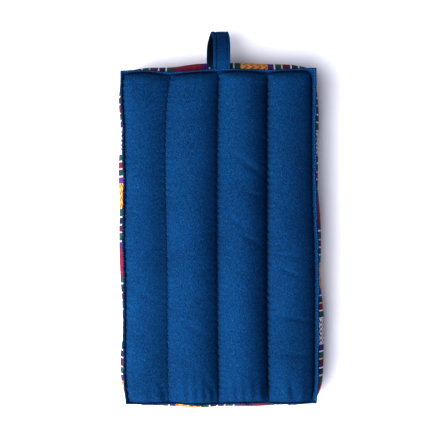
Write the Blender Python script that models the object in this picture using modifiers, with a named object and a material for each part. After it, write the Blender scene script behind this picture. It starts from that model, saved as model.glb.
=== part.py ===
"""Zafu of the flat oblong kind: a blue twill cushion sewn into four channels, with a pinched rim
round its top and its bottom, a striped side band between the rims, and a strap loop.

Metres, +Z up. The cushion lies on its back on z = 0, and its long side runs along Y, with the
loop at +Y. Lengths below are in millimetres and become metres where the points are placed.
"""

import bmesh
import bpy
import numpy as np

MM = 0.001

# Plan of the cushion. The middle of the cushion lies off the origin, because the loop's reach
# counts in the box whose centre is the origin.
CUSHION_Y = -16.5
HALF_LENGTH = 176.0

# The lines that run the long way, as x at a place along Y: both rims and the three seams.
# Columns: along, left rim, seam 1, seam 2, seam 3, right rim
LONG_LINES = (
    (-176.0, -97.1, -52.5, -0.5, 52.0, 101.0),
    (-120.0, -100.3, -55.6, -1.5, 50.8, 103.0),
    (-45.0, -101.8, -55.2, -2.1, 50.4, 103.6),
    (20.0, -100.8, -57.2, -2.1, 50.4, 103.4),
    (110.0, -102.6, -57.2, -2.1, 50.4, 103.0),
    (145.0, -103.0, -54.5, -1.5, 50.4, 101.8),
    (176.0, -103.3, -51.2, -0.5, 50.9, 100.9),
)
# The rim's edge at both ends, as y at a place along X: it is drawn in where a seam meets it.
# Columns: along, far end, loop end
END_LINES = (
    (-103.0, -174.8, 174.1),
    (-78.0, -175.9, 175.3),
    (-52.0, -175.0, 172.4),
    (-26.0, -176.3, 174.8),
    (0.0, -175.4, 176.4),
    (26.0, -176.3, 176.4),
    (51.0, -175.0, 174.8),
    (76.0, -175.9, 176.4),
    (101.0, -174.0, 177.1),
)

# Heights above the floor.
TOP_SEAM = 50.5
BOTTOM_SEAM = 6.5
CROWN = 13.5
GROOVE_RISE = 1.0
# The fill is uneven: the crown swells and sinks by this share, over these lengths.
FILL_WAVE = 0.05
SHORT_WAVE = 31.0
LONG_WAVE = 53.0
CHANNEL_PHASE = 1.9

# The rim: the seam's two plies, which stand up and lean out at about 45 degrees.
RIM_OUT = 4.0
RIM_UP = 4.2
RIM_PLY = 1.6
LEAN = np.sqrt(0.5)
EAR = 7.6
CORNER_DRAWN_IN = 4.0

# The side band.
BAND_PLY = 1.2
CLEARANCE = 0.45
BULGE = {"left": 6.9, "right": 7.3, "far": 6.6, "loop": 8.8}
SHOULDER_SHARE = 0.66
SHOULDER_RISE = 14.5
BULGE_TAPER = 32.0

# The strap loop.
STRAP_WIDTH = 18.0
STRAP_PLY = 1.5
LOOP_SAMPLES = 5

# The cage: three columns to a channel, and rows that are closer near the ends.
CHANNELS = 4
COLUMN_SHARES = (0.0, 0.2, 0.8)
PER_CHANNEL = len(COLUMN_SHARES)
ROWS = (0.0, 11.0, 36.0, 80.0, 128.0, 176.0, 224.0, 272.0, 316.0, 341.0, 352.0)
COLUMNS = CHANNELS * PER_CHANNEL
LAST_ROW = len(ROWS) - 1
SMOOTH_ANGLE = np.radians(50.0)
# How far an edge is held against smoothing: wholly at a seam or a cloth edge, in part under a rim.
SHARP = 1.0
UNDER_RIM = 0.7

# The loop's path, from the upper leg's root round the fold to the lower leg's root.
# Columns: name, x, out from the middle of the rim's edge, up from it
LOOP_PATH = (
    ("upper root", 2.2, -0.5, 1.1),
    ("upper rise", 2.1, 3.2, 4.3),
    ("upper top", 1.8, 9.5, 5.6),
    ("upper slope", 1.2, 21.0, 0.8),
    ("upper end", 0.4, 31.0, -9.5),
    ("fold", -0.2, 37.4, -19.5),
    ("fold under", -0.8, 35.6, -24.6),
    ("lower end", -1.4, 30.0, -23.6),
    ("lower slope", -2.6, 19.5, -14.0),
    ("lower dip", -3.6, 9.5, -4.6),
    ("lower rise", -4.1, 4.2, -0.4),
    ("lower root", -4.2, 1.1, -0.5),
)


def long_line(column, y):
    """x of a long line at y: a straight blend between the table's rows."""
    table = np.array(LONG_LINES)
    return np.interp(y, table[:, 0], table[:, column])


def end_line(column, x):
    """y of an end's rim edge at x: a straight blend between the table's rows."""
    table = np.array(END_LINES)
    return np.interp(x, table[:, 0], table[:, column])


def rim_edge(i, j):
    """The rim's outer edge in plan, for a cage place on the outline."""
    along = ROWS[j] - HALF_LENGTH
    channel, place = divmod(i, PER_CHANNEL)
    share = COLUMN_SHARES[place]
    low = long_line(channel + 1, along)
    high = long_line(min(channel + 2, CHANNELS + 1), along)
    x = low + share * (high - low)
    y_share = ROWS[j] / ROWS[-1]
    return np.array([x, (1 - y_share) * end_line(1, x) + y_share * end_line(2, x)])


def outward(i, j):
    """The way out in plan: along X at a long side, along Y at an end, both at a corner."""
    way_x = (i == COLUMNS) - (i == 0)
    way_y = (j == LAST_ROW) - (j == 0)
    return np.array([way_x, way_y], float)


def is_corner(i, j):
    return i in (0, COLUMNS) and j in (0, LAST_ROW)


def bulge(i, j):
    """How far the band stands out of the rim here: nothing at a corner, full a hand's width off."""
    edge = rim_edge(i, j)
    if i in (0, COLUMNS):
        full = BULGE["left"] if i == 0 else BULGE["right"]
        to_corner = HALF_LENGTH - abs(edge[1])
    else:
        full = BULGE["far"] if j == 0 else BULGE["loop"]
        to_corner = min(edge[0] - rim_edge(0, j)[0], rim_edge(COLUMNS, j)[0] - edge[0])
    share = np.clip(to_corner / BULGE_TAPER, 0.0, 1.0)
    return full * share * share * (3 - 2 * share)


def half_section(extra):
    """The rim and the wall down to mid-height, from the rim's edge in and down.

    Each row holds: outward from the rim's edge, share of the bulge, height, inward at a corner.
    extra is the distance outside the cushion's own cloth: 0 for the cushion, more for the band.
    """
    slant = (RIM_PLY + extra) * LEAN
    middle = 0.5 * (TOP_SEAM + BOTTOM_SEAM)
    notch = -RIM_OUT + RIM_PLY * LEAN + extra / LEAN
    edge = (slant, 0.0, TOP_SEAM + RIM_UP - slant, -slant)
    crotch = (notch, 0.0, TOP_SEAM - RIM_PLY * LEAN, EAR - RIM_PLY - extra)
    shoulder = (extra, SHOULDER_SHARE, middle + SHOULDER_RISE, CORNER_DRAWN_IN - extra)
    waist = (extra, 1.0, middle, CORNER_DRAWN_IN - extra)
    return edge, crotch, shoulder, waist


def full_section(rows):
    """The half section with its mirror image under mid-height."""
    sum_of_seams = TOP_SEAM + BOTTOM_SEAM
    mirrored = [(out, share, sum_of_seams - z, inward) for out, share, z, inward in rows]
    return mirrored[:-1] + list(reversed(rows))


def wall_point(i, j, row):
    """A point of a section row, carried to this place on the outline."""
    out, share, height, inward = row
    way = outward(i, j)
    reach = -inward if is_corner(i, j) else out + share * bulge(i, j)
    x, y = rim_edge(i, j) + way * reach
    return x, y, height


def face_point(i, j, side):
    """A point of the top face (side 1) or the bottom face (side -1), seam lines included."""
    seam_height = TOP_SEAM if side > 0 else BOTTOM_SEAM
    way = outward(i, j)
    if way.any():
        inward = EAR if is_corner(i, j) else RIM_OUT
        x, y = rim_edge(i, j) - way * inward
        return x, y, seam_height
    x, y = rim_edge(i, j)
    if i % PER_CHANNEL == 0:
        return x, y, seam_height + side * GROOVE_RISE
    channel = i // PER_CHANNEL
    swell = np.sin(y / SHORT_WAVE + CHANNEL_PHASE * channel) * np.cos(y / LONG_WAVE + channel)
    return x, y, seam_height + side * CROWN * (1.0 + FILL_WAVE * swell)


def boxed_grid(levels, name, capped):
    """A box whose faces are cut at whole numbers: columns along X, rows along Y, levels along Z."""
    bm = bmesh.new()
    size = (COLUMNS, LAST_ROW, levels)
    bmesh.ops.create_cube(bm, size=1.0)
    for vert in bm.verts:
        vert.co = [(vert.co[axis] + 0.5) * size[axis] for axis in range(3)]
    for axis in range(3):
        normal = [float(axis == other) for other in range(3)]
        for cut in range(1, size[axis]):
            place = [cut * float(axis == other) for other in range(3)]
            geometry = bm.verts[:] + bm.edges[:] + bm.faces[:]
            bmesh.ops.bisect_plane(bm, geom=geometry, plane_co=place, plane_no=normal)
    if not capped:
        caps = [face for face in bm.faces if abs(face.normal.z) > 0.5]
        bmesh.ops.delete(bm, geom=caps, context="FACES")
    mesh = bpy.data.meshes.new(name)
    places = {vert.index: tuple(round(c) for c in vert.co) for vert in bm.verts}
    return bm, mesh, places


def crease_rings(bm, places, creases):
    """Holds the edges that run round a level, and on the faces the seam lines, against smoothing."""
    layer = bm.edges.layers.float.new("crease_edge")
    for edge in bm.edges:
        a = places[edge.verts[0].index]
        b = places[edge.verts[1].index]
        if a[2] != b[2]:
            continue
        if a[2] in creases:
            on_outline = outward(*a[:2]).any() and outward(*b[:2]).any()
            on_seam = a[0] == b[0] and a[0] % PER_CHANNEL == 0
            if on_outline or on_seam:
                edge[layer] = creases[a[2]]


def placed_object(bm, mesh, name, material, collection):
    bm.to_mesh(mesh)
    bm.free()
    obj = bpy.data.objects.new(name, mesh)
    obj.data.materials.append(material)
    collection.objects.link(obj)
    return obj


def shade(obj):
    obj.data.shade_smooth()
    obj.data.set_sharp_from_angle(angle=SMOOTH_ANGLE)


def add_subdivision(obj):
    modifier = obj.modifiers.new("Subdivision", "SUBSURF")
    modifier.levels = 1
    modifier.render_levels = 1


def apply_modifiers(obj):
    """Makes the smoothed form the object's own mesh."""
    graph = bpy.context.evaluated_depsgraph_get()
    smoothed = bpy.data.meshes.new_from_object(obj.evaluated_get(graph))
    cage = obj.data
    obj.modifiers.clear()
    obj.data = smoothed
    smoothed.name = obj.name
    bpy.data.meshes.remove(cage)


def press_flat(obj):
    """Flattens what the floor presses: no point lies under z = 0."""
    for vert in obj.data.vertices:
        vert.co.z = max(vert.co.z, 0.0)


def to_metres(point):
    x, y, z = point
    return x * MM, (y + CUSHION_Y) * MM, z * MM


def make_cushion(material, collection):
    """The filled body: four channels on both faces, both rims, and the wall under the band."""
    edge, crotch, shoulder, waist = half_section(0.0)
    tip = (0.0, 0.0, TOP_SEAM + RIM_UP, 0.0)
    section = full_section([tip, edge, crotch, shoulder, waist])
    levels = len(section) + 1
    bm, mesh, places = boxed_grid(levels, "cushion", True)
    creases = {0: SHARP, 1: SHARP, 2: SHARP, 3: UNDER_RIM}
    creases.update({levels - level: value for level, value in creases.items()})
    crease_rings(bm, places, creases)
    for vert in bm.verts:
        i, j, level = places[vert.index]
        if level in (0, levels):
            point = face_point(i, j, 1 if level else -1)
        else:
            point = wall_point(i, j, section[level - 1])
        vert.co = to_metres(point)
    cushion = placed_object(bm, mesh, "cushion", material, collection)
    add_subdivision(cushion)
    apply_modifiers(cushion)
    press_flat(cushion)
    shade(cushion)
    return cushion


def make_side_band(material, collection):
    """The striped ring of cloth between the rims, its edges turned out along them."""
    section = full_section(list(half_section(CLEARANCE)))
    levels = len(section) - 1
    bm, mesh, places = boxed_grid(levels, "side_band", False)
    crease_rings(bm, places, {1: UNDER_RIM, levels - 1: UNDER_RIM})
    for vert in bm.verts:
        i, j, level = places[vert.index]
        vert.co = to_metres(wall_point(i, j, section[level]))
    band = placed_object(bm, mesh, "side_band", material, collection)
    add_subdivision(band)
    thickness = band.modifiers.new("Cloth", "SOLIDIFY")
    thickness.thickness = BAND_PLY * MM
    thickness.offset = 1.0
    thickness.use_even_offset = True
    shade(band)
    return band


def smooth_path(points, samples):
    """A curve through the points, with each stretch leaving them along its neighbours' chord."""
    padded = np.vstack([2 * points[0] - points[1], points, 2 * points[-1] - points[-2]])
    t = np.linspace(0.0, 1.0, samples, endpoint=False)[:, None]
    stretches = []
    for before, start, end, after in zip(padded, padded[1:], padded[2:], padded[3:]):
        bend = 2 * before - 5 * start + 4 * end - after
        twist = -before + 3 * start - 3 * end + after
        stretches.append(start + 0.5 * ((end - before) * t + bend * t**2 + twist * t**3))
    return np.vstack(stretches + [points[-1:]])


def make_handle_loop(material, collection):
    """The strap: a ribbon carried across X along its path, then given its thickness."""
    tip_slant = (RIM_PLY + 0.5 * CLEARANCE) * LEAN
    middle_y = end_line(2, LOOP_PATH[0][1]) + tip_slant
    middle_z = TOP_SEAM + RIM_UP - tip_slant
    rows = [(x, middle_y + out, middle_z + up) for _, x, out, up in LOOP_PATH]
    path = smooth_path(np.array(rows), LOOP_SAMPLES)
    bm = bmesh.new()
    verts = [bm.verts.new(to_metres(point)) for point in path]
    edges = [bm.edges.new(pair) for pair in zip(verts, verts[1:])]
    bmesh.ops.translate(bm, verts=verts, vec=(-0.5 * STRAP_WIDTH * MM, 0.0, 0.0))
    swept = bmesh.ops.extrude_edge_only(bm, edges=edges)["geom"]
    moved = [item for item in swept if isinstance(item, bmesh.types.BMVert)]
    bmesh.ops.translate(bm, verts=moved, vec=(STRAP_WIDTH * MM, 0.0, 0.0))
    loop = placed_object(bm, bpy.data.meshes.new("handle_loop"), "handle_loop", material, collection)
    thickness = loop.modifiers.new("Strap", "SOLIDIFY")
    thickness.thickness = STRAP_PLY * MM
    thickness.offset = 0.0
    thickness.use_even_offset = True
    shade(loop)
    return loop


def cloth(name, colour, roughness):
    material = bpy.data.materials.new(name)
    material.use_nodes = True
    shader = material.node_tree.nodes["Principled BSDF"]
    shader.inputs["Base Color"].default_value = (*colour, 1.0)
    shader.inputs["Roughness"].default_value = roughness
    shader.inputs["Metallic"].default_value = 0.0
    return material


def main():
    for obj in list(bpy.data.objects):
        bpy.data.objects.remove(obj, do_unlink=True)
    collection = bpy.data.collections.new("zafu")
    bpy.context.scene.collection.children.link(collection)
    twill = cloth("blue_twill", (0.010, 0.075, 0.245), 0.85)
    woven = cloth("striped_weave", (0.330, 0.030, 0.060), 0.90)
    strap = cloth("blue_strap", (0.009, 0.065, 0.220), 0.80)
    make_cushion(twill, collection)
    make_side_band(woven, collection)
    make_handle_loop(strap, collection)


main()
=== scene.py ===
# %% [markdown]
# # A flat zafu in four channels
# This lesson dresses a small meditation cushion that lies on its back: a blue twill body sewn
# into four channels, a striped band round its sides, and a strap loop at one end. The packed
# model gives the frame. It is never moved, and each cloth piece stands for one of its solids.

import bpy
import numpy as np
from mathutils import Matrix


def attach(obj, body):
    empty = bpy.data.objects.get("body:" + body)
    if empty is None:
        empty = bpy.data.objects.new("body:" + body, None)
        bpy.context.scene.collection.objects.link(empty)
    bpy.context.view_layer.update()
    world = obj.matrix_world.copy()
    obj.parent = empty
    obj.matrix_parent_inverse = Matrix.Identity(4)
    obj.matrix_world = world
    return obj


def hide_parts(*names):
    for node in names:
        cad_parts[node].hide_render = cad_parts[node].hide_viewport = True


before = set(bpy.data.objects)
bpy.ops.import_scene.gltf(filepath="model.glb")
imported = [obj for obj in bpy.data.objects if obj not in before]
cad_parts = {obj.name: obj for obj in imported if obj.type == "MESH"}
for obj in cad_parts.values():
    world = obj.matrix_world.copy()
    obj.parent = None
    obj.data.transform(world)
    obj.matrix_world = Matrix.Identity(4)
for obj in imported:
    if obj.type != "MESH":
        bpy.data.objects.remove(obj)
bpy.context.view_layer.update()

# %% [markdown]
# ## The camera
# The cushion was photographed from straight above, about a metre and a half away. A camera that
# isn't turned looks down -Z with +Y at the top, so it only needs its place and its lens. By
# similar triangles, the sensor is to the lens what the width seen is to the distance.

# %% Camera
SENSOR_MM = 36.0
RIM_HEIGHT = 0.0545
CAMERA_ABOVE_RIM = 1.5
WIDTH_SEEN_AT_RIM = 0.462
CAMERA_PLAN = (0.0005, 0.0014)

lens = bpy.data.cameras.new("overhead")
lens.sensor_width = SENSOR_MM
lens.lens = SENSOR_MM * CAMERA_ABOVE_RIM / WIDTH_SEEN_AT_RIM
camera = bpy.data.objects.new("overhead", lens)
camera.location = (*CAMERA_PLAN, RIM_HEIGHT + CAMERA_ABOVE_RIM)
bpy.context.scene.collection.objects.link(camera)
bpy.context.scene.camera = camera
print("lens, mm:", round(lens.lens, 1))

# %% [markdown]
# ## The light
# The shadows fall up and to the right, short and soft-edged. That is one large softbox, near,
# over the left front of the set, and a pale, slightly blue room that fills in a little. An area
# light is such a softbox: its width over its distance sets how soft the shadow's edge is. The
# High Contrast look gives the photograph's firm contrast.

# %% Studio light
KEY_PLACE = (-0.60, -0.40, 0.96)
KEY_SIZE = (1.35, 1.60)
KEY_WATTS = 50.0
FILL_STRENGTH = 0.32
FILL_COLOUR = (0.74, 0.76, 1.0, 1.0)

softbox = bpy.data.lights.new("softbox", "AREA")
softbox.shape = "RECTANGLE"
softbox.size, softbox.size_y = KEY_SIZE
softbox.energy = KEY_WATTS
key = bpy.data.objects.new("softbox", softbox)
key.location = KEY_PLACE
key.rotation_mode = "QUATERNION"
key.rotation_quaternion = key.location.to_track_quat("Z", "Y")
bpy.context.scene.collection.objects.link(key)

room = bpy.data.worlds.new("room")
room.use_nodes = True
background = room.node_tree.nodes["Background"].inputs
background["Color"].default_value = FILL_COLOUR
background["Strength"].default_value = FILL_STRENGTH
bpy.context.scene.world = room
bpy.context.scene.view_settings.view_transform = "Standard"
bpy.context.scene.view_settings.look = "High Contrast"
print("softbox at, m:", [round(c, 3) for c in key.location])

# %% [markdown]
# ## The plan
# A sewn cushion is never a true rectangle. The seams wander by a few millimetres and draw the
# ends in where they meet them. So the plan is two small tables: the lines that run the long
# way, and the rim's edge at both ends. A blend between the lines gives any point. Lengths are
# in millimetres from here on, and become metres when a mesh is made.

# %% Lines of the plan
MM = 0.001
TURN = 2.0 * np.pi
CUSHION_PLACE = np.array([0.0, -16.5, 0.0])
HALF_LENGTH = 176.0
CHANNELS = 4
TABLE_EASE = 7.0
EASE_SAMPLES = 5

# Columns: along, left rim, seam 1, seam 2, seam 3, right rim
LONG_LINES = np.array([
    (-176, -97.6, -52.5, -0.5, 52, 101),
    (-160, -99.8, -53.4, -0.8, 51.7, 103.4),
    (-140, -100.9, -53.7, -1.2, 51.2, 104),
    (-100, -100.7, -54.1, -1.7, 50.6, 104.2),
    (-50, -100.6, -54, -2.1, 50.4, 104.3),
    (-19, -101.2, -54.7, -2.1, 50.4, 103.8),
    (7, -102, -55.2, -2.1, 50.4, 103),
    (34, -101.2, -55.8, -2.1, 50.4, 102),
    (52, -100.6, -56.2, -2.1, 50.4, 101.6),
    (86, -101.6, -56.4, -2.1, 50.4, 101.2),
    (120, -101.8, -56, -1.9, 50.4, 101.1),
    (140, -103.1, -55, -1.6, 50.4, 101.2),
    (156, -103.9, -53.5, -1.1, 50.6, 101.3),
    (176, -103.4, -51.2, -0.5, 50.9, 100.9),
])
# Columns: place along X, far end, loop end
END_LINES = np.array([
    (-103, -174.8, 174.1),
    (-78, -175.6, 175.3),
    (-52, -175, 172.4),
    (-26, -176.3, 174.8),
    (0, -175.7, 176.4),
    (26, -174.5, 176.4),
    (51, -174.6, 174.8),
    (76, -175.3, 176.4),
    (101, -174, 177.1),
])


def table_line(table, column, at):
    """A table's value at a place: the mean of a few blends round it, which eases its corners."""
    steps = np.linspace(-TABLE_EASE, TABLE_EASE, EASE_SAMPLES)
    return np.mean([np.interp(at + step, table[:, 0], table[:, column]) for step in steps], axis=0)


def edge_plan(across, share):
    """The plan out to the rim's edge, and the distance to each of its four sides.

    across counts channels from the left rim, and share runs from the far end (0) to the loop
    end (1). x lies between the long lines beside it, and y between the two end lines.
    """
    along = (2.0 * share - 1.0) * HALF_LENGTH
    lines = np.stack([table_line(LONG_LINES, column + 1, along) for column in range(CHANNELS + 1)])
    channel = np.clip(np.floor(across).astype(int), 0, CHANNELS - 1)
    low = np.take_along_axis(lines, channel[None], axis=0)[0]
    high = np.take_along_axis(lines, channel[None] + 1, axis=0)[0]
    x = low + (across - channel) * (high - low)
    far = table_line(END_LINES, 1, x)
    loop = table_line(END_LINES, 2, x)
    y = far + share * (loop - far)
    return x, y, (x - lines[0], lines[-1] - x, y - far, loop - y)


corner_x, corner_y, _ = edge_plan(np.array([0.0, CHANNELS]), np.array([0.0, 1.0]))
print("plan, mm:", np.ptp(corner_x).round(1), "x", np.ptp(corner_y).round(1))

# %% [markdown]
# ## Drawing the cloth in from the edge
# Every line round the cushion is the rim's edge moved in or out: the seam at the rim's foot lies
# about 3 mm in, the band's waist up to 8 mm out. At a corner the pinched seam leaves a flat ear
# of cloth, so it is drawn in further: most at the corner right of the loop, and hardly where the
# fill is pushed into the corner. The right rim leans out most, so its foot lies furthest in, and
# the far one stands up. One function makes all of these moves, so the pieces meet.

# %% Moves in plan
EAR_REACH = 11.0
EAR_POWER = 1.5
# Left and right, then far end and loop end
LEAN_X = np.array([0.85, 1.45])
LEAN_Y = np.array([0.25, 0.85])
EAR_SHARE = np.array([(0.20, 0.35), (0.30, 1.0)])


def nearness(gap):
    """1 on a side and 0 beyond the ear's reach: (1 - gap / reach) to the ear's power."""
    return np.clip(1.0 - gap / EAR_REACH, 0.0, 1.0) ** EAR_POWER


def drawn_plan(across, share, side_in, corner_in):
    """The plan moved in by side_in beside a side, and by corner_in both ways at a corner.

    Each axis moves by its nearness to a side, times a blend from side_in to corner_in by the
    nearness of the other axis and the corner's share. What lies inside the edge is moved in by
    its side's lean, too.
    """
    x, y, (left, right, far, loop) = edge_plan(across, share)
    near_x = np.maximum(nearness(left), nearness(right))
    near_y = np.maximum(nearness(far), nearness(loop))
    on_right, on_loop = (right < left).astype(int), (loop < far).astype(int)
    ear = EAR_SHARE[on_right, on_loop]
    way_x = np.where(left < right, 1.0, -1.0)
    way_y = np.where(far < loop, 1.0, -1.0)
    inside = np.maximum(side_in, 0.0)
    side_x = side_in + (LEAN_X[on_right] - 1.0) * inside
    side_y = side_in + (LEAN_Y[on_loop] - 1.0) * inside
    x = x + way_x * near_x * (side_x + (corner_in - side_x) * ear * near_y)
    y = y + way_y * near_y * (side_y + (corner_in - side_y) * ear * near_x)
    return x, y


# %% [markdown]
# ## One channelled face
# A channel is a tube of cloth full of loose fibre. Across it, the cloth rises steeply from the
# seam and rounds off over the top, as a superellipse does, and the same curve closes the channel
# at its ends. The fill is uneven, so each crown swells and sinks a little on its way. It has
# also shifted to the left, so the crowns lean that way, and the seams lie lower to the right.

# %% Face heights
TOP_SEAM = 50.5
BOTTOM_SEAM = 6.5
RIM_OUT = 2.6
EAR = 5.6

# For each channel its crown over the rim's foot and its lean; for each seam its depth below it
CROWN = np.array([12.8, 14.5, 15.0, 15.2])
SEAM_SINK = np.array([0.0, -3.2, 2.2, 5.5, 3.2])
CROWN_SKEW = np.array([0.82, 0.95, 0.92, 0.62])
SINK_RUN_IN = 20.0
ARCH_POWER = 2.0
ARCH_ROUND = 0.7
END_ROLL = 14.0
ROLL_POWER = 2.5
ROLL_ROUND = 0.55
FILL_WAVE = 0.05
SHORT_WAVE = 31.0
LONG_WAVE = 53.0
CHANNEL_PHASE = 1.9


def arch(t, power, roundness):
    """A superellipse's height from 0 at t = 0 through 1 at t = 0.5 to 0 at t = 1."""
    rest = 1.0 - np.abs(2.0 * np.clip(t, 0.0, 1.0) - 1.0) ** power
    return np.maximum(rest, 0.0) ** roundness


def face_points(across, share, side, fill):
    """A face: the plan drawn in to the rim's seam, under the arch across times the roll along.

    side is 1 for the top and -1 for the bottom, where the floor presses the crowns flat. fill
    scales the crowns. A power of t leans the arch, and the seams sink away from the ends.
    """
    x, y = drawn_plan(across, share, RIM_OUT, EAR)
    channel = np.clip(np.floor(across).astype(int), 0, CHANNELS - 1)
    t = across - channel
    to_end = 2.0 * HALF_LENGTH * np.minimum(share, 1.0 - share)
    roll = arch(0.5 * np.clip(to_end / END_ROLL, 0.0, 1.0), ROLL_POWER, ROLL_ROUND)
    swell = np.sin(y / SHORT_WAVE + CHANNEL_PHASE * channel) * np.cos(y / LONG_WAVE + channel)
    sink = (1.0 - t) * SEAM_SINK[channel] + t * SEAM_SINK[channel + 1]
    sink = sink * np.clip(to_end / SINK_RUN_IN, 0.0, 1.0)
    full = fill * CROWN[channel] * (1.0 + FILL_WAVE * swell) + sink
    rise = full * arch(t ** CROWN_SKEW[channel], ARCH_POWER, ARCH_ROUND) * roll
    seam = TOP_SEAM if side > 0 else BOTTOM_SEAM
    z = seam + side * (rise - sink)
    return np.stack([x, y, np.maximum(z, 0.0)], axis=-1)


def parameter_grid(per_channel, rows):
    """Even steps across and along, as two grids with a row for each place along."""
    across = np.linspace(0.0, CHANNELS, CHANNELS * per_channel + 1)
    return np.meshgrid(across, np.linspace(0.0, 1.0, rows + 1))


# %% [markdown]
# ## From numbers to a mesh
# In a grid of points, each cell of four neighbours becomes a face. All faces are listed at once
# from a grid of vertex numbers, in the order that turns them outwards.

# %% Mesh helpers


def quads(index):
    """The faces of a grid of vertex numbers: on by a column, up by a row, back by a column."""
    corners = [index[:-1, :-1], index[:-1, 1:], index[1:, 1:], index[1:, :-1]]
    return np.stack(corners, axis=-1).reshape(-1, 4)


def vertex_numbers(points):
    """A number for each point of a grid."""
    return np.arange(points[..., 0].size).reshape(points.shape[:2])


def closed(grid):
    """The grid with its first column once more after its last, which closes a ring."""
    return np.hstack([grid, grid[:, :1]])


def unit(vectors):
    """Each row of vectors brought to length one."""
    return vectors / np.linalg.norm(vectors, axis=1, keepdims=True)


def new_piece(name, points, faces):
    """A smooth-shaded object from millimetre points, with the cushion moved to its place."""
    mesh = bpy.data.meshes.new(name)
    mesh.from_pydata(((points.reshape(-1, 3) + CUSHION_PLACE) * MM).tolist(), [], faces)
    mesh.shade_smooth()
    piece = bpy.data.objects.new(name, mesh)
    bpy.context.scene.collection.objects.link(piece)
    return piece


def shown_mesh(piece):
    """The piece's mesh as it shows, modifiers included."""
    return piece.evaluated_get(bpy.context.evaluated_depsgraph_get()).to_mesh()


def triangles(piece):
    """How many triangles the piece shows."""
    return sum(len(face.vertices) - 2 for face in shown_mesh(piece).polygons)


# %% [markdown]
# ## Filling the channels
# Real cloth finds its own balance between the fill and the seams, and Blender's Cloth does, too.
# A coarse copy of the face starts a little low, is pinned along its seams, and is blown up for
# twenty frames with no gravity. What it moved, capped at a few millimetres, is added to the fine
# face by cubic interpolation, which is a product with a matrix of weights on either side.

# %% Cloth under pressure
START_LOW = 0.90
PRESSURE = 4.0
CLOTH_QUALITY = 6
CLOTH_FRAMES = 20
MOVE_CAP = 2.5
COARSE_CELLS = (12, 84)
FINE_CELLS = (32, 228)

fine_across, fine_share = parameter_grid(*FINE_CELLS)


def blown_up(points, held, side):
    """The grid after twenty frames of Cloth: pressure from inside, pinned where held is true."""
    piece = new_piece("cloth_study", points, quads(vertex_numbers(points)[:, ::side]).tolist())
    pins = piece.vertex_groups.new(name="seams")
    pins.add(np.flatnonzero(held).tolist(), 1.0, "REPLACE")
    cloth = piece.modifiers.new("Cloth", "CLOTH")
    cloth.settings.quality = CLOTH_QUALITY
    cloth.settings.vertex_group_mass = "seams"
    cloth.settings.use_pressure = True
    cloth.settings.uniform_pressure_force = PRESSURE
    cloth.settings.effector_weights.gravity = 0.0
    for number in range(1, CLOTH_FRAMES + 1):
        bpy.context.scene.frame_set(number)
    flat = np.empty(points.size)
    shown_mesh(piece).vertices.foreach_get("co", flat)
    bpy.data.objects.remove(piece)
    bpy.context.scene.frame_set(1)
    return flat.reshape(points.shape) / MM - CUSHION_PLACE


def cubic_weights(fine, coarse):
    """A matrix that takes coarse + 1 even values to fine + 1 even ones by cubic convolution."""
    gap = np.abs(np.linspace(0.0, coarse, fine + 1)[:, None] - np.arange(coarse + 1)[None, :])
    near = 1.5 * gap**3 - 2.5 * gap**2 + 1.0
    next_to_it = -0.5 * gap**3 + 2.5 * gap**2 - 4.0 * gap + 2.0
    weights = np.where(gap < 1.0, near, np.where(gap < 2.0, next_to_it, 0.0))
    return weights / weights.sum(axis=1, keepdims=True)


def filled_face(side):
    """The fine face, with the coarse cloth's movement added, no further than the cap."""
    across, share = parameter_grid(*COARSE_CELLS)
    start = face_points(across, share, side, START_LOW)
    held = (across % 1.0 == 0.0) | (share == 0.0) | (share == 1.0)
    move = blown_up(start, held, side) - start
    length = np.linalg.norm(move, axis=-1, keepdims=True)
    move = move * np.minimum(1.0, MOVE_CAP / np.maximum(length, MM))
    print("cloth moved, uncapped, mm:", length.mean().round(2), "to", length.max().round(2))
    along = cubic_weights(FINE_CELLS[1], COARSE_CELLS[1])
    over = cubic_weights(CHANNELS * FINE_CELLS[0], CHANNELS * COARSE_CELLS[0])
    filled = face_points(fine_across, fine_share, side, START_LOW)
    filled += np.einsum("fr,rck,gc->fgk", along, move, over)
    filled[..., 2] = np.maximum(filled[..., 2], 0.0)
    return filled


top_face = filled_face(1)
bottom_face = filled_face(-1)
print("top face, mm:", top_face[..., 2].min().round(1), "to", top_face[..., 2].max().round(1))

# %% [markdown]
# ## Puckers and creases
# The needle gathers the cloth a little at each stitch, so small folds stand off the seams and
# fade within a centimetre. The deepest lie where a channel's seam runs into the end seam. Soft
# creases cross the crowns where the cushion has been folded. Each fold is a valley, a bell in
# shape both across and along, placed from the photograph.

# %% Puckers
GATHER_DEPTH = 0.42
GATHER_REACH = 3.0
GATHER_PITCH = 5.6
GATHER_WANDER = 0.8
GATHER_WANDER_RUN = 19.0
SEAM_PHASE = 2.0
CHANNEL_WIDTH = 51.04
SEAM_SWING = 0.5
SWING_PITCH = 8.3
END_GATHER_DEPTH = 0.62
END_GATHER_REACH = 8.0
END_GATHER_PITCH = 10.6
END_WANDER = 0.7
END_WANDER_RUN = 23.0
LOOP_END_SHARE = 0.25

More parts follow.
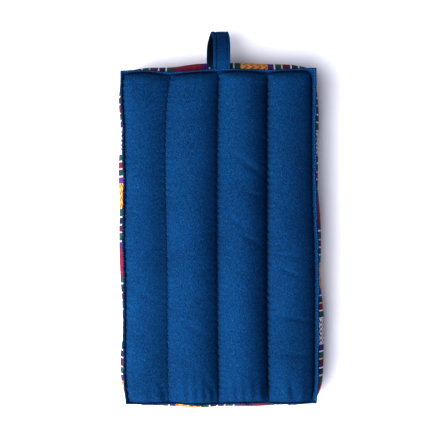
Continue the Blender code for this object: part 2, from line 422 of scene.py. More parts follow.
# Columns: x, y, turn from +Y in degrees, half length, half width, depth
FOLDS = np.array([
    (-59, -163, 24, 12, 2.5, 1.35),
    (-62, -166, 40, 9, 2.1, 0.80),
    (-8, -162, 22, 13, 2.8, 1.45),
    (-12.5, -167, 38, 9, 2.3, 0.95),
    (5, -165, -20, 9, 2.3, 0.62),
    (48, -165, 14, 9, 2.3, 0.74),
    (57, -166, -30, 8, 2.5, 0.68),
    (76, -164, 12, 12, 2.5, 1.30),
    (82, -167, -16, 8, 2.1, 0.56),
    (-80, -166, -12, 9, 2.3, 0.56),
    (-32, -167, 8, 8, 2.3, 0.50),
    (-50, 164, -18, 9, 2.3, 0.56),
    (2, 165, 14, 8, 2.3, 0.50),
    (53, 165, -16, 9, 2.3, 0.56),
    (20, 84, 58, 17, 2.8, 1.15),
    (34, 72, 60, 14, 2.8, 1.30),
    (38, 44, 72, 12, 2.8, 0.95),
    (17, 16, 54, 16, 2.8, 1.15),
    (32, -2, 60, 15, 2.4, 1.40),
    (74, -19, 80, 18, 2.6, 0.90),
    (72, -36, 66, 14, 2.4, 1.75),
    (76, -85, 80, 19, 2.4, 1.75),
    (80, -123, 86, 16, 2.4, 1.40),
    (-36, 40, 124, 14, 3.2, 0.75),
    (-80, -60, 60, 15, 3.2, 0.75),
    (-26, -96, 56, 15, 3.2, 0.80),
])


def folds_at(x, y):
    """The depth of all folds at each point: a sum of bells, long along a fold and narrow across."""
    depth = np.zeros_like(x)
    for centre_x, centre_y, turn, half_length, half_width, deep in FOLDS:
        angle = np.radians(turn)
        along = (y - centre_y) * np.cos(angle) - (x - centre_x) * np.sin(angle)
        across = (x - centre_x) * np.cos(angle) + (y - centre_y) * np.sin(angle)
        depth += deep * np.exp(-((along / half_length) ** 2) - (across / half_width) ** 2)
    return depth


def gathered(face, side):
    """The face with its seams' gathers and its folds.

    The gathers are a ripple along a seam that fades from it, and the seam itself swings from
    side to side by the sum of two sines.
    """
    x, y = face[..., 0], face[..., 1]
    seam = fine_across.round()
    to_seam = np.abs(fine_across - seam) * CHANNEL_WIDTH
    to_end = 2.0 * HALF_LENGTH * np.minimum(fine_share, 1.0 - fine_share)
    off_end = np.clip(to_end / GATHER_REACH, 0.0, 1.0)
    wander = y / GATHER_PITCH + GATHER_WANDER * np.sin(y / GATHER_WANDER_RUN) + SEAM_PHASE * seam
    fade = (to_seam / GATHER_REACH) * np.exp(1.0 - to_seam / GATHER_REACH)
    depth = GATHER_DEPTH * np.sin(TURN * wander) * fade * off_end
    end_wander = x / END_GATHER_PITCH + END_WANDER * np.sin(x / END_WANDER_RUN) + fine_share
    end_fade = (to_end / END_GATHER_REACH) * np.exp(1.0 - to_end / END_GATHER_REACH)
    off_seam = np.clip(to_seam / GATHER_REACH, 0.0, 1.0)
    deep = END_GATHER_DEPTH * np.where(fine_share > 0.5, LOOP_END_SHARE, 1.0)
    depth += deep * np.sin(TURN * end_wander) * end_fade * off_seam
    depth += folds_at(x, y) * off_end * off_seam
    swing = np.sin(TURN * wander) + np.sin(TURN * y / SWING_PITCH + seam)
    made = face.copy()
    made[..., 0] += SEAM_SWING * swing * np.exp(-to_seam / GATHER_REACH) * off_end
    made[..., 2] = np.maximum(made[..., 2] - side * depth, 0.0)
    return made


top_face = gathered(top_face, 1)
bottom_face = gathered(bottom_face, -1)
print("folds placed:", len(FOLDS))

# %% [markdown]
# ## Round the side
# A ring joins the two faces. From the seam at the rim's foot, the body's cloth climbs to the
# rim's tip, turns over, runs back down into the notch under the rim, and then makes the wall,
# hidden by the band. The same rows, a hair further out, are the band's shape. Each row is four
# numbers: how far out, how much of the bulge it takes, its height, and how far in it is drawn
# at a corner.

# %% Rows of the ring
RIM_UP = 4.2
RIM_PLY = 1.1
LEAN = np.sqrt(0.5)
CORNER_DRAWN_IN = 4.0
WALL_ROUND = 0.7
WAVE_TAPER = 40.0

# Rows, each way round counter-clockwise from above: distance along the side, bulge
BULGE = {
    "far": [
        (0, 0), (14, 1.5), (26, 2.8), (45, 4), (80, 4.6), (100, 3.3), (125, 4.8), (142, 4.6),
        (160, 2.6), (182, 1.5), (198, 0),
    ],
    "right": [
        (0, 0), (14, 4.2), (28, 5.3), (57, 5.7), (73, 6.4), (90, 5.8), (108, 4), (120, 2.6),
        (136, 1.6), (152, 2.8), (175, 3.7), (192, 3.7), (210, 3), (222, 1.6), (238, 1.9),
        (267, 3), (306, 3.3), (320, 2.4), (329, 1.2), (337, 0.2), (351, 0),
    ],
    "loop": [
        (0, 0), (8, 2), (15, 4.1), (27, 6.3), (52, 8), (69, 7.4), (118, 8.2), (132, 8.1),
        (142, 7.1), (153, 6.8), (166, 5.1), (179, 3.8), (191, 2), (204, 0),
    ],
    "left": [
        (0, 0), (11, 0.4), (22, 2.3), (36, 3.2), (48, 2.4), (67, 2.8), (83, 3.8), (96, 5),
        (112, 5.5), (125, 5.2), (141, 4), (167, 3.8), (193, 4.4), (225, 3.5), (240, 1.9),
        (282, 1.5), (296, 3.4), (314, 3.8), (328, 3.5), (338, 2.2), (350, 0),
    ],
}


def between(start, end, steps):
    """Even steps from one row to the next, the last one included."""
    share = np.arange(1, steps + 1)[:, None] / steps
    return np.array(start) * (1.0 - share) + np.array(end) * share


def lip_rows(extra):
    """Edge and notch of the upper rim, extra millimetres outside the body's own cloth."""
    slant = (RIM_PLY + extra) * LEAN
    notch_out = -RIM_OUT + RIM_PLY * LEAN + extra / LEAN
    edge = (slant, 0.0, TOP_SEAM + RIM_UP - slant, -slant)
    notch = (notch_out, 0.0, TOP_SEAM - RIM_PLY * LEAN, EAR - RIM_PLY - extra)
    return edge, notch


def wall_rows(extra, steps):
    """The wall from the upper notch down to the lower one: a power of a sine pushes it out."""
    _, (notch_out, _, height, corner) = lip_rows(extra)
    share = np.arange(1, steps)[:, None] / steps
    swell = np.sin(np.pi * share) ** WALL_ROUND
    out = notch_out * (1.0 - swell) + extra * swell
    drawn = corner * (1.0 - swell) + (CORNER_DRAWN_IN - extra) * swell
    low = TOP_SEAM + BOTTOM_SEAM - height
    return np.hstack([out, swell, height + share * (low - height), drawn])


def mirrored(rows):
    """The rows of the upper rim turned over for the lower one, in order from its notch down."""
    turned = rows[::-1].copy()
    turned[:, 2] = TOP_SEAM + BOTTOM_SEAM - turned[:, 2]
    return turned


# %% [markdown]
# The rim isn't straight: where the machine has pulled, it waves by half a millimetre, and more
# along the far end. The waves are whole turns of the outline, so they close on themselves. The
# upper rim on the right has been pressed over, so its edge hangs, the more the further out.

# %% The ring
WAVE_TURNS = (23, 41, 70, 109, 173)
WAVE_OUT = (0.26, 0.18, 0.16, 0.12, 0.18)
WAVE_UP = (0.14, 0.14, 0.16, 0.14, 0.24)
FAR_END_MORE = 2.4
RIGHT_DROOP = 3.0


def around(grid):
    """The outline of a grid, counter-clockwise from above: far, right, loop and left side."""
    sides = [grid[0, :-1], grid[:-1, -1], grid[-1, :0:-1], grid[:0:-1, 0]]
    return np.concatenate(sides)


outline_across, outline_share = around(fine_across), around(fine_share)


def outline_facts():
    """Each point's side, its distance along it, the side's length, and its share of the turn."""
    x, y, _ = edge_plan(outline_across, outline_share)
    step = np.hypot(np.roll(x, -1) - x, np.roll(y, -1) - y)
    travelled = np.concatenate([[0.0], np.cumsum(step)[:-1]])
    counts = np.array([CHANNELS * FINE_CELLS[0], FINE_CELLS[1]] * 2)
    starts = np.cumsum(counts) - counts
    names = np.repeat(["far", "right", "loop", "left"], counts)
    length = np.repeat(np.add.reduceat(step, starts), counts)
    return names, travelled - np.repeat(travelled[starts], counts), length, travelled / step.sum()


side_name, side_distance, side_length, turn_share = outline_facts()


def ring_points(rows):
    """Each row carried round the outline: drawn in or out in plan, set at its height, and waved.

    The bulge is each side's own table, and the waves count in full at the rim's edge and not at
    its foot. The right rim's droop grows with the square of the distance from its foot.
    """
    to_corner = np.minimum(side_distance, side_length - side_distance)
    to_corner = np.clip(to_corner / WAVE_TAPER, 0.0, 1.0)
    bulge = np.zeros_like(side_distance)
    for name, table in BULGE.items():
        here = side_name == name
        bulge[here] = table_line(np.array(table), 1, side_distance[here])
    middle = 0.5 * (TOP_SEAM + BOTTOM_SEAM)
    more = np.where(side_name == "far", FAR_END_MORE, 1.0)
    phase = TURN * turn_share
    wave_out = more * sum(a * np.sin(n * phase + n) for n, a in zip(WAVE_TURNS, WAVE_OUT))
    wave_up = more * sum(a * np.cos(n * phase + 2 * n) for n, a in zip(WAVE_TURNS, WAVE_UP))
    out, swell, height, drawn = rows.T[..., None]
    above_seam = np.abs(height - middle) - (TOP_SEAM - middle)
    on_rim = np.clip(above_seam / RIM_UP, 0.0, 1.0)
    side_in = -(out + swell * bulge + on_rim * wave_out * to_corner)
    x, y = drawn_plan(*np.broadcast_arrays(outline_across, outline_share, side_in, drawn))
    pressed = (side_name == "right") & (height > middle) & (above_seam > -RIM_PLY)
    droop = RIGHT_DROOP * pressed * to_corner * np.clip(1.0 + out / RIM_OUT, 0.0, 1.0) ** 2
    z = height + np.sign(height - middle) * on_rim * wave_up - droop
    return np.stack([x, y, np.maximum(z, 0.0)], axis=-1)


# %% [markdown]
# ## The body in one piece
# The body's cloth is one closed surface: the ring starts and ends at the outlines of the two
# faces, so their vertex numbers are used again and no gap is left.

# %% Body
FOOT = (-RIM_OUT, 0.0, TOP_SEAM, EAR)
TIP = (0.0, 0.0, TOP_SEAM + RIM_UP, 0.0)
SHARP_ANGLE = np.radians(62.0)
LIP_STEPS = (5, 2, 3)
WALL_STEPS = 14

body_stops = (FOOT, TIP, *lip_rows(0.0))
body_lip = np.vstack([between(*run) for run in zip(body_stops, body_stops[1:], LIP_STEPS)])
body_rows = np.vstack([body_lip, wall_rows(0.0, WALL_STEPS), mirrored(body_lip)])
ring = ring_points(body_rows)[::-1]

top_index = vertex_numbers(top_face)
bottom_index = top_index + top_index.size
ring_index = vertex_numbers(ring) + 2 * top_index.size
ladder = closed(np.vstack([around(bottom_index), ring_index, around(top_index)]))
body_points = np.vstack([part.reshape(-1, 3) for part in (top_face, bottom_face, ring)])
body_faces = np.vstack([quads(top_index), quads(bottom_index[:, ::-1]), quads(ladder)])

body = new_piece("cushion_cloth", body_points, body_faces.tolist())
body.data.set_sharp_from_angle(angle=SHARP_ANGLE)
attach(body, "root")
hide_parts("cushion")
print("body triangles:", triangles(body))

# %% [markdown]
# ## The striped band
# The band is one long strip of handwoven cloth, sewn round the wall with its edges turned out
# along both rims. Its stripes run up the wall, so the pattern must follow the cloth: a UV map
# holds the distance along the band and up it, both counted in repeats of the pattern. Each
# side starts its stripes at a place of its own, as on the real cushion.

# %% Band surface
CLEARANCE = 0.40
BAND_PLY = 0.9
BAND_EDGE_BACK = 0.45
REPEAT = 407.8
STRIPE_START = {"far": 7.4, "right": -60.6, "loop": 217.5, "left": -58.6}
BAND_LIP_STEPS = 4
BAND_WALL_STEPS = 26

band_tip, band_notch = lip_rows(CLEARANCE)
band_edge = np.array(band_tip) * (1.0 - BAND_EDGE_BACK) + np.array(band_notch) * BAND_EDGE_BACK
band_lip = np.vstack([[band_edge], between(band_edge, band_notch, BAND_LIP_STEPS)])
band_rows = np.vstack([band_lip, wall_rows(CLEARANCE, BAND_WALL_STEPS), mirrored(band_lip)])
band_points = ring_points(band_rows)[::-1]
band = new_piece("woven_band", band_points, quads(closed(vertex_numbers(band_points))).tolist())


def band_map(points):
    """u and v of each corner of each face: distance along its side and up the cloth, in repeats."""
    start = np.array([STRIPE_START[name] for name in side_name])
    step = np.append(side_distance[1:], 0.0)
    far_edge = np.where(step > side_distance, step, side_length)
    climb = np.linalg.norm(np.diff(points, axis=0), axis=-1).mean(axis=1)
    height = np.concatenate([[0.0], np.cumsum(climb)])[:, None]
    edges = (side_distance + start, far_edge + start, height[:-1], height[1:])
    low, high, under, over = np.broadcast_arrays(*edges)
    u = np.stack([low, high, high, low], axis=-1)
    v = np.stack([under, under, over, over], axis=-1)
    return np.stack([u, v], axis=-1) / REPEAT, climb.sum()


band_uv, band_height = band_map(band_points)
band.data.uv_layers.new(name="weave").uv.foreach_set("vector", band_uv.astype(np.float32).ravel())
ply = band.modifiers.new("Cloth", "SOLIDIFY")
ply.thickness = BAND_PLY * MM
ply.offset = 1.0
band_waist = band_points[len(band_points) // 2]
band_length = np.linalg.norm(np.roll(band_waist, -1, axis=0) - band_waist, axis=1).sum()
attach(band, "root")
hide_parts("side_band")
print("band, mm:", band_height.round(1), "x", band_length.round(1), "triangles:", triangles(band))

# %% [markdown]
# ## The strap loop
# The loop is a strip of the same twill, folded lengthwise, stitched along both edges, and bent
# double with its roots in the seam. Its section is a flat rounded bar, sunk along the two
# stitched lines. It is carried along the loop's path, with its thickness square to the path,
# and the back leg rolls a little about it.

# %% Loop surface
STRAP_HALF_WIDTH = 8.9
STRAP_HALF_PLY = 0.75
STITCH_INSETS = (4.1, 2.4)
STITCH_SINK = 0.50
STITCH_SPREAD = 0.8
WELT = 0.5
ROLL_MOST = 28.0
PATH_SAMPLES = 9
SECTION_STEPS = 88
SECTION_POWER = 5.0
TIP_MIDDLE = (RIM_PLY + 0.5 * CLEARANCE) * LEAN

# Columns: x, out from the middle of the rim's edge, up from it, share of the roll
LOOP_PATH = np.array([
    (2.2, -0.5, 1.1, 0),
    (2.2, 3.2, 4.3, 0),
    (2.3, 9.5, 5.6, 0),
    (2.4, 21, 1.4, 0),
    (2, 32.2, -8.5, 0),
    (0.2, 40, -18.6, 0),
    (-1.3, 38.6, -24.2, 0.1),
    (-3.3, 31.2, -23.6, 0.5),
    (-5.2, 20.5, -14.6, 1),
    (-5.2, 10, -5, 0.9),
    (-4.5, 4.2, -0.6, 0.3),
    (-4.2, 1.1, -0.5, 0),
])


def smooth_path(points, samples):
    """A curve through the points that leaves each one along the chord of its neighbours."""
    padded = np.vstack([2 * points[0] - points[1], points, 2 * points[-1] - points[-2]])
    t = np.linspace(0.0, 1.0, samples, endpoint=False)[None, :, None]
    before, start, end, after = (padded[k : len(padded) - 3 + k, None] for k in range(4))
    bend = 2 * before - 5 * start + 4 * end - after
    twist = -before + 3 * start - 3 * end + after
    curve = start + 0.5 * ((end - before) * t + bend * t**2 + twist * t**3)
    return np.vstack([curve.reshape(-1, points.shape[1]), points[-1:]])


loop_end_y = table_line(END_LINES, 2, LOOP_PATH[0, 0]) + TIP_MIDDLE
loop_root = np.array([0.0, loop_end_y, TOP_SEAM + RIM_UP - TIP_MIDDLE])
strap_line = smooth_path(LOOP_PATH, PATH_SAMPLES)
strap_path = strap_line[:, :3] + loop_root
strap_roll = np.radians(ROLL_MOST) * strap_line[:, 3:]


def strap_section(turn):
    """Across and thickness at an angle round the bar: a superellipse, sunk at the two seams.

    Across goes as the cosine, and the thickness is what the superellipse's power leaves of it.
    Outside a seam the plies of the hem make the bar thicker by the welt's share.
    """
    share = np.cos(turn)
    across = STRAP_HALF_WIDTH * share
    inset = np.where(across < 0.0, *STITCH_INSETS)
    off_seam = (np.abs(across) - STRAP_HALF_WIDTH + inset) / STITCH_SPREAD
    rest = np.clip(1.0 - np.abs(share) ** SECTION_POWER, 0.0, 1.0) ** (1.0 / SECTION_POWER)
    thick = STRAP_HALF_PLY * np.sign(np.sin(turn)) * rest
    thick = thick * (1.0 + WELT * np.clip(off_seam, 0.0, 1.0))
    return across, thick * (1.0 - STITCH_SINK / STRAP_HALF_PLY * np.exp(-(off_seam**2)))


def strap_frame(path, roll):
    """At each step of the path, the way across the strap and the way square to it.

    Across lies along X and square is square to the path, both turned about it by the roll.
    """
    way = unit(np.gradient(path, axis=0) * np.array([0.0, 1.0, 1.0]))
    square = way[:, [0, 2, 1]] * np.array([1.0, -1.0, 1.0])
    sideways = np.array([1.0, 0.0, 0.0])
    over = np.cos(roll) * sideways + np.sin(roll) * square
    return over, np.cos(roll) * square - np.sin(roll) * sideways


section_turn = np.linspace(0.0, TURN, SECTION_STEPS, endpoint=False)
over_strap, strap_square = strap_frame(strap_path, strap_roll)
section_across, section_thick = strap_section(section_turn)
strap_points = strap_path[:, None] + section_across[None, :, None] * over_strap[:, None]
strap_points = strap_points + section_thick[None, :, None] * strap_square[:, None]
strap_index = vertex_numbers(strap_points)
strap_ends = [strap_index[0, ::-1].tolist(), strap_index[-1].tolist()]
strap = new_piece("strap_loop", strap_points, quads(closed(strap_index)).tolist() + strap_ends)
strap_length = np.linalg.norm(np.diff(strap_path, axis=0), axis=1).sum()
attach(strap, "root")
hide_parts("handle_loop")
print("strap, mm:", strap_length.round(1), "triangles:", triangles(strap))

# %% [markdown]
# ## The stitches
# A lockstitch shows as a row of short pills of thread with a gap where the needle went in. A
# pill has thirty faces, and is repeated along a seam by adding its points to all places at once.

# %% Stitches
STITCH_PITCH = 3.0
STITCH_HALF_LENGTH = 1.05
THREAD_RADIUS = 0.34
# Rows: place along the pill, radius
PILL_PROFILE = np.array([(-0.75, 0.8), (-0.25, 1.0), (0.25, 1.0), (0.75, 0.8)])
PILL_SIDES = 6
CHANNEL_LIFT = 0.12
SEAM_TRIM = 2


def pill():
    """A pill's points as shares of its half length and radius, its walls, and its two caps."""
    turn = np.linspace(0.0, TURN, PILL_SIDES, endpoint=False)
    along, radius = PILL_PROFILE.T[..., None]
    grid = np.broadcast_arrays(along, radius * np.cos(turn), radius * np.sin(turn))
    grid = np.stack(grid, axis=-1)
    points = np.vstack([grid.reshape(-1, 3), [(-1.0, 0.0, 0.0), (1.0, 0.0, 0.0)]])
    index = closed(vertex_numbers(grid))
    pole = np.full(PILL_SIDES, grid[..., 0].size)
    start_cap = np.stack([pole, index[0, 1:], index[0, :-1]], axis=-1)
    end_cap = np.stack([pole + 1, index[-1, :-1], index[-1, 1:]], axis=-1)
    return points, quads(index)[:, ::-1], np.vstack([start_cap, end_cap])


def even_steps(path, up, lift):
    """Places a pitch apart along a path, lifted off it, with the way on and the way up at each."""
    travelled = np.concatenate([[0.0], np.cumsum(np.linalg.norm(np.diff(path, axis=0), axis=1))])
    count = int(travelled[-1] / STITCH_PITCH)
    at = (np.arange(count) + 0.5) * travelled[-1] / count
    way = np.gradient(path, axis=0)
    pick = [[np.interp(at, travelled, column) for column in part.T] for part in (path, way, up)]
    place, on, rise = (np.array(part).T for part in pick)
    on = unit(on)
    rise = unit(rise - (rise * on).sum(axis=1, keepdims=True) * on)
    return place + lift * rise, on, rise


def stitched(name, seams):
    """One mesh of pills along all seams; each seam is its path, its upward ways and a lift."""
    place, on, up = (np.vstack(part) for part in zip(*(even_steps(*seam) for seam in seams)))
    side = np.cross(up, on)
    shape, walls, caps = pill()
    along, out, high = shape.T[:, None, :, None]
    points = place[:, None] + STITCH_HALF_LENGTH * along * on[:, None]
    points = points + THREAD_RADIUS * (out * side[:, None] + high * up[:, None])
    first = np.arange(len(place))[:, None, None] * len(shape)
    walls, caps = ((part + first).reshape(-1, part.shape[1]) for part in (walls, caps))
    piece = new_piece(name, points, walls.tolist() + caps.tolist())
    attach(piece, "root")
    print(name, "stitches:", len(place), "triangles:", triangles(piece))
    return piece


channel_seams = []
for column in range(1, CHANNELS):
    for face, way in ((top_face, 1.0), (bottom_face, -1.0)):
        seam_line = face[SEAM_TRIM:-SEAM_TRIM, column * FINE_CELLS[0]]
        upward = np.broadcast_to([0.0, 0.0, way], seam_line.shape)
        channel_seams.append((seam_line, upward, CHANNEL_LIFT))
channel_stitches = stitched("channel_stitches", channel_seams)

# %% [markdown]
# The rim is stitched through both plies, where the thread lies square to the slope of the ply,
# and the strap 4 mm from one edge and 2 mm from the other.

# %% Rim and strap stitches
STITCH_ROW = 3
RIM_LIFT = 0.05

rim_seams = []
whole_ring = closed(ring)
for row, foot, way in ((STITCH_ROW, 0, -1.0), (-1 - STITCH_ROW, -1, 1.0)):
    line = whole_ring[row]
    square_up = np.cross(np.gradient(line, axis=0), whole_ring[foot] - line)
    square_up = square_up * np.sign(square_up[:, 2:] * way)
    rim_seams.append((line, square_up, RIM_LIFT))
rim_stitches = stitched("rim_stitches", rim_seams)

strap_seams = []
for across, inset in zip((-1.0, 1.0), STITCH_INSETS):
    for way in (-1.0, 1.0):
        shift = across * (STRAP_HALF_WIDTH - inset) * over_strap
        line = strap_path + shift + way * (STRAP_HALF_PLY - STITCH_SINK) * strap_square
        strap_seams.append((line, way * strap_square, 0.0))
strap_stitches = stitched("strap_stitches", strap_seams)

# %% [markdown]
# ## Colours and nodes
# Colours are picked on the screen as hex values, which are sRGB, and a shader works in linear
# light, so one function converts them. Another adds a node, sets its properties, and fills its
# inputs: a socket is linked, anything else is a constant. A mix of colours has its sockets
# after those for numbers, so they are counted.

# %% Colour and node helpers


def linear(hex_colour):
    """sRGB hex to linear: a straight foot below 0.04045 and a power of 2.4 above it."""
    srgb = np.array([int(hex_colour[k : k + 2], 16) for k in (1, 3, 5)]) / 255.0
    low, high = srgb / 12.92, ((srgb + 0.055) / 1.055) ** 2.4
    return (*np.where(srgb <= 0.04045, low, high).tolist(), 1.0)


def new_material(name, coordinates):
    """A material with its Principled shader, and its Object or UV coordinates as a socket."""
    material = bpy.data.materials.new(name)
    material.use_nodes = True
    tree = material.node_tree
    source = tree.nodes.new("ShaderNodeTexCoord").outputs[coordinates]
    return material, tree, tree.nodes["Principled BSDF"], source


def add(tree, kind, inputs=None, **settings):
    """Adds a node, sets its properties, fills its inputs, and returns its first enabled output."""
    node = tree.nodes.new(kind)
    for name, value in settings.items():
        setattr(node, name, value)
    for key, value in (inputs or {}).items():
        if isinstance(value, bpy.types.NodeSocket):
            tree.links.new(value, node.inputs[key])
        else:
            node.inputs[key].default_value = value
    return next(output for output in node.outputs if output.enabled)


def finish_cloth(shader, colour, roughness, sheen, tint, bump=None):
    """Matt cloth: its colour and relief, cotton's IOR, and a soft bloom of fibre ends."""
    tree = shader.id_data
    tree.links.new(colour, shader.inputs["Base Color"])
    if bump:
        tree.links.new(add(tree, "ShaderNodeBump", bump), shader.inputs["Normal"])
    shader.inputs["Roughness"].default_value = roughness
    shader.inputs["IOR"].default_value = 1.46
    shader.inputs["Specular IOR Level"].default_value = 0.12
    shader.inputs["Sheen Weight"].default_value = sheen
    shader.inputs["Sheen Roughness"].default_value = 0.45
    shader.inputs["Sheen Tint"].default_value = linear(tint)


MATH = "ShaderNodeMath"
MIX = "ShaderNodeMix"
NOISE = "ShaderNodeTexNoise"
RANGE = "ShaderNodeMapRange"
MAPPING = "ShaderNodeMapping"
SHARE, FIRST, SECOND = 0, 6, 7

# %% [markdown]
# ## Blue cotton twill
# In twill each weft passes over two or three warps, a step further in every row, which draws
# fine diagonal lines. This one is dyed deep blue, matt, with a faint bloom where loose fibre
# ends catch the light, so it gets high roughness and a little sheen. Real lines are about
# 0.6 mm apart, finer than the picture can show, so they are drawn 1.5 mm apart. Slubs, thicker
# bits of thread, streak it lengthwise, fibre ends make pale flecks, and a few specks of lint
# sit on it. The strap's inner side is darker: painted shade for the loop's own shadow.

# %% Twill material
TWILL_PITCH = 1.5
TWILL_TURN = 0.5
LINE_WOBBLE = 5.0
LINE_TONE = 0.10
PATCH_TONE = 0.30
LINE_RELIEF = 0.35
SLUB_WIDTH = 0.9
SLUB_LENGTH = 1.7
FLECK = 1.1
PATCH_LENGTH = 45.0
LINT_SPACING = 7.0
LINT_SIZE = 0.075
LINT_SHARE = 0.16


def twill_material(name, coordinates, dark, light):
    """Twill on Object coordinates, or on the piece's own UV map, whose unit is also a metre."""
    material, tree, shader, source = new_material(name, coordinates)
    turned = add(tree, MAPPING, {"Vector": source, "Rotation": (0.0, 0.0, TWILL_TURN)})
    split = add(tree, "ShaderNodeSeparateXYZ", {0: turned}).node.outputs
    turns_per_metre = TURN / (TWILL_PITCH * MM)
    turns = add(tree, MATH, {0: split[0], 1: turns_per_metre}, operation="MULTIPLY")
    wobble = add(tree, NOISE, {"Vector": source, "Scale": 420.0, "Detail": 2.0})
    wobbled = add(tree, MATH, {0: wobble, 1: LINE_WOBBLE, 2: turns}, operation="MULTIPLY_ADD")
    lines = add(tree, MATH, {0: wobbled}, operation="SINE")
    slub_scale = (1.0 / (SLUB_WIDTH * MM), 1.0 / (SLUB_LENGTH * MM), 1.0 / (SLUB_WIDTH * MM))
    streaked = add(tree, MAPPING, {"Vector": source, "Scale": slub_scale})
    slubs = add(tree, NOISE, {"Vector": streaked, "Scale": 1.0, "Detail": 3.0})
    patches = {"Vector": source, "Scale": 1.0 / (PATCH_LENGTH * MM), "Detail": 3.0}
    patches = add(tree, NOISE, patches)
    tone = add(tree, MATH, {0: lines, 1: LINE_TONE, 2: slubs}, operation="MULTIPLY_ADD")
    tone = add(tree, MATH, {0: patches, 1: PATCH_TONE, 2: tone}, operation="MULTIPLY_ADD")
    tone = add(tree, RANGE, {"Value": tone, "From Min": 0.42, "From Max": 0.90})
    flecks = add(tree, NOISE, {"Vector": source, "Scale": 1.0 / (FLECK * MM)})
    flecks = {"Value": flecks, "From Min": 0.50, "From Max": 0.70, "To Max": 0.10}
    flecks = add(tree, RANGE, flecks)
    cells = {"Vector": source, "Scale": 1.0 / (LINT_SPACING * MM)}
    cells = add(tree, "ShaderNodeTexVoronoi", cells)
    lint = add(tree, MATH, {0: cells, 1: LINT_SIZE}, operation="LESS_THAN")
    specks = add(tree, MATH, {0: lint, 1: LINT_SHARE, 2: flecks}, operation="MULTIPLY_ADD")
    dyed = {SHARE: tone, FIRST: linear(dark), SECOND: linear(light)}
    dyed = add(tree, MIX, dyed, data_type="RGBA")
    worn = {SHARE: specks, FIRST: dyed, SECOND: linear("#3288b8")}
    colour = add(tree, MIX, worn, data_type="RGBA")
    height = add(tree, MATH, {0: lines, 1: LINE_RELIEF, 2: slubs}, operation="MULTIPLY_ADD")
    bump = {"Strength": 0.55, "Distance": 0.35 * MM, "Height": height}
    finish_cloth(shader, colour, 0.90, 0.03, "#2468b8", bump)
    return material


TWILLS = (
    (body, "blue cotton twill", "Object", "#001f3b", "#0b3b60"),
    (strap, "blue twill strap", "UV", "#011f3a", "#033a60"),
    # Painted shade: these darker tones stand in for the loop's own shadow on its inner side.
    (strap, "blue twill strap, inner side in painted shade", "UV", "#010e1f", "#021a32"),
)
for piece, *look in TWILLS:
    piece.data.materials.append(twill_material(*look))

# The inner half of the strap's section takes the darker twill, which is painted shade.
inside = np.tile(section_thick < 0.0, len(strap_path) - 1).astype(int)
strap.data.polygons.foreach_set("material_index", np.append(inside, [0, 0]))
strap_map = strap.data.uv_layers.new(name="strap")
strap_corners = np.empty(len(strap.data.loops), int)
strap.data.loops.foreach_get("vertex_index", strap_corners)
strap_row, strap_column = np.divmod(strap_corners, SECTION_STEPS)
strap_along = np.linspace(0.0, strap_length, len(strap_path))
strap_uv = np.stack([section_across[strap_column], strap_along[strap_row]], axis=-1) * MM
strap_map.uv.foreach_set("vector", strap_uv.astype(np.float32).ravel())
print("twill lines, mm apart:", TWILL_PITCH)

# %% [markdown]
# ## Handwoven stripes
# The band is a warp-faced wool and cotton cloth of the kind woven in the Andes: broad fields
# with small woven figures, and groups of narrow stripes between them, parted by pale lines.
# The chart lists one repeat in order, with widths in millimetres: the three fields twice, with
# four stripes after the first and five after the others. A Color Ramp with constant steps is
# such a chart, but one holds 32 steps at most, so there are two.

# %% Stripe chart
GREEN, DEEP_GREEN = "#124840", "#103a38"
NAVY, PURPLE, VIOLET = "#121a3c", "#441a62", "#562073"
MAROON, RED, CRIMSON = "#540e34", "#700d30", "#780730"
YELLOW, ORANGE = "#c49a50", "#b04f1c"
WHITE, PALE, CREAM, PEACH, BLACK = "#c9c4c8", "#c8c2cc", "#cfc4b4", "#c49a90", "#1b1a20"
FIELDS = ((28.4, WHITE), (27.8, YELLOW), (30.5, CRIMSON))
NARROW, LINE = 6.92, 1.6
FIRST_NARROW, FIRST_LINE = 6.22, 1.5


def stripes(wide, thin, *shades):
    """Narrow stripes parted by thin lines: the width and shade of each, in order."""
    return [(thin if place % 2 else wide, shade) for place, shade in enumerate(shades)]


FOUR = stripes(FIRST_NARROW, FIRST_LINE, GREEN, CREAM, RED, PEACH, DEEP_GREEN, PALE, VIOLET)
FIVE = stripes(NARROW, LINE, GREEN, CREAM, NAVY, PALE, MAROON, PEACH, GREEN, PALE, PURPLE)
CHART = []
for field in FIELDS * 2:
    CHART += [field, *(FIVE if CHART else FOUR)]
chart_ends = np.cumsum([width for width, _ in CHART])
print("chart, mm:", chart_ends[-1].round(1), "stripes and lines:", len(CHART))

# %% [markdown]
# The figures come from distances, too. One that swings along the band plus one that swings up
# and down it makes diamonds: nested rings in the white field, small dark ones in the crimson.
# In the yellow field the swing up and down alone makes waves of orange. The yarns stand up as
# fine ribs, 1.2 mm apart here, where real ones are half that.

# %% Band material
YARN = 1.2
PICK = 1.7
PICK_RELIEF = 0.5
FIELD_MARGIN = 0.8

# Columns: field, half a swing, whether it swings along, too, ring, share painted, paint
FIGURES = (
    (WHITE, 7.0, True, 4.7, 0.42, BLACK),
    (YELLOW, 4.6, False, 6.95, 0.38, ORANGE),
    (CRIMSON, 3.8, True, 8.5, 0.2, MAROON),
)


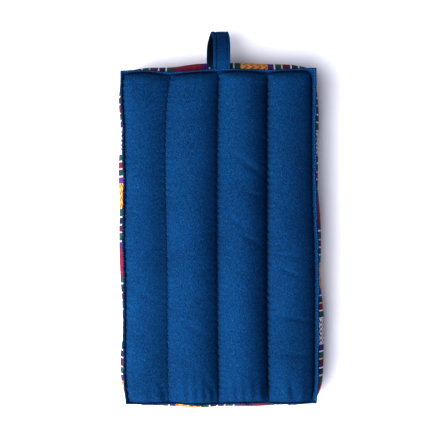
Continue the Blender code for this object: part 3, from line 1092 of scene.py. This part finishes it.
def woven_material():
    """Striped cloth on the band's own map: the chart by distance along, figures in its fields."""
    material, tree, shader, source = new_material("handwoven striped wool", "UV")
    split = add(tree, "ShaderNodeSeparateXYZ", {0: source}).node.outputs
    place = add(tree, MATH, {0: split[0]}, operation="FRACT")
    along = add(tree, MATH, {0: place, 1: REPEAT}, operation="MULTIPLY")
    up = add(tree, MATH, {0: split[1], 1: REPEAT}, operation="MULTIPLY")
    starts = np.concatenate([[0.0], chart_ends[:-1]]) / chart_ends[-1]
    half = len(CHART) // 2
    halves = []
    for numbers in (range(half), range(half, len(CHART))):
        halves.append(add(tree, "ShaderNodeValToRGB", {"Fac": place}))
        ramp = halves[-1].node.color_ramp
        ramp.interpolation = "CONSTANT"
        for number in numbers:
            step = ramp.elements[0] if number == numbers[0] else ramp.elements.new(starts[number])
            step.position = starts[number]
            step.color = linear(CHART[number][1])
        ramp.elements.remove(ramp.elements[-1])
    in_high = add(tree, MATH, {0: place, 1: float(starts[half])}, operation="GREATER_THAN")
    halves = {SHARE: in_high, FIRST: halves[0], SECOND: halves[1]}
    colour = add(tree, MIX, halves, data_type="RGBA")

    for field, half_swing, sways, ring_pitch, share, paint in FIGURES:
        swing = add(tree, MATH, {0: up, 1: half_swing}, operation="PINGPONG")
        sway = along
        if sways:
            sway = add(tree, MATH, {0: along, 1: half_swing}, operation="PINGPONG")
        reach = add(tree, MATH, {0: sway, 1: swing}, operation="ADD")
        reach = add(tree, MATH, {0: reach, 1: ring_pitch}, operation="MODULO")
        painted = add(tree, MATH, {0: reach, 1: share * ring_pitch}, operation="LESS_THAN")
        inside = 0.0
        for number, (width, shade) in enumerate(CHART):
            if shade == field:
                middle = float(chart_ends[number]) - 0.5 * width
                near = {0: along, 1: middle, 2: 0.5 * width - FIELD_MARGIN}
                near = add(tree, MATH, near, operation="COMPARE")
                inside = add(tree, MATH, {0: inside, 1: near}, operation="ADD")
        painted = add(tree, MATH, {0: inside, 1: painted}, operation="MULTIPLY")
        painted = {SHARE: painted, FIRST: colour, SECOND: linear(paint)}
        colour = add(tree, MIX, painted, data_type="RGBA")

    yarns = add(tree, MATH, {0: along, 1: TURN / YARN}, operation="MULTIPLY")
    picks = add(tree, MATH, {0: up, 1: TURN / PICK, 2: yarns}, operation="MULTIPLY_ADD")
    ribs = add(tree, MATH, {0: yarns}, operation="SINE")
    steps = add(tree, MATH, {0: picks}, operation="SINE")
    relief = add(tree, MATH, {0: steps, 1: PICK_RELIEF, 2: ribs}, operation="MULTIPLY_ADD")
    fuzz = add(tree, NOISE, {"Vector": source, "Scale": 160.0, "Detail": 3.0})
    fuzz = {"Value": fuzz, "From Min": 0.3, "From Max": 0.7, "To Min": 0.72, "To Max": 1.12}
    tone = add(tree, RANGE, fuzz)
    shade = add(tree, "ShaderNodeCombineXYZ", {0: tone, 1: tone, 2: tone})
    worn = {SHARE: 1.0, FIRST: colour, SECOND: shade}
    colour = add(tree, MIX, worn, data_type="RGBA", blend_type="MULTIPLY")
    bump = {"Strength": 0.6, "Distance": 0.3 * MM, "Height": relief}
    finish_cloth(shader, colour, 0.92, 0.08, "#cfc6c0", bump)
    return material


band.data.materials.append(woven_material())

# %% [markdown]
# ## Thread and floor
# The sewing thread is spun polyester, less rough than the cloth: paler on the rim, the cloth's
# own blue along the channels, and darker on the strap, a near-black that also paints the shade
# of its stitched grooves. Its two plies wind round each other, which a wave across the stitches
# suggests. The floor is white paper with the faintest grain, lit past white as in the photograph.

# %% Thread and floor materials


def thread_material(name, dark, light):
    """Two twisted plies: a wave across the thread between a dark and a light tone."""
    material, tree, shader, source = new_material(name, "Object")
    winding = {"Vector": source, "Scale": 900.0, "Distortion": 1.5}
    twist = add(tree, "ShaderNodeTexWave", winding, bands_direction="DIAGONAL")
    plies = {SHARE: twist, FIRST: linear(dark), SECOND: linear(light)}
    colour = add(tree, MIX, plies, data_type="RGBA")
    finish_cloth(shader, colour, 0.55, 0.05, "#8fb0d8")
    return material


THREADS = (
    (rim_stitches, "rim thread, pale blue", "#183a63", "#4a719c"),
    (channel_stitches, "seam thread, blue", "#0b2748", "#33608f"),
    # Painted shade: the strap thread's near-black also stands in for the shade in its stitched
    # grooves.
    (strap_stitches, "strap thread, navy, painted groove shade", "#010a18", "#07203c"),
)
for piece, *look in THREADS:
    piece.data.materials.append(thread_material(*look))

FLOOR_HALF = 4.0
paper, paper_tree, paper_shader, paper_source = new_material("matt white paper", "Object")
paper_grain = add(paper_tree, NOISE, {"Vector": paper_source, "Scale": 60.0})
fibres = {SHARE: paper_grain, FIRST: linear("#d6d7dc"), SECOND: linear("#dadbe0")}
paper_colour = add(paper_tree, MIX, fibres, data_type="RGBA")
paper_tree.links.new(paper_colour, paper_shader.inputs["Base Color"])
paper_shader.inputs["Roughness"].default_value = 0.9
floor_mesh = bpy.data.meshes.new("floor")
floor_corners = np.array([(-1, -1, 0), (1, -1, 0), (1, 1, 0), (-1, 1, 0)]) * FLOOR_HALF
floor_mesh.from_pydata(floor_corners.tolist(), [], [(0, 1, 2, 3)])
floor_mesh.materials.append(paper)
floor = bpy.data.objects.new("floor", floor_mesh)
bpy.context.scene.collection.objects.link(floor)
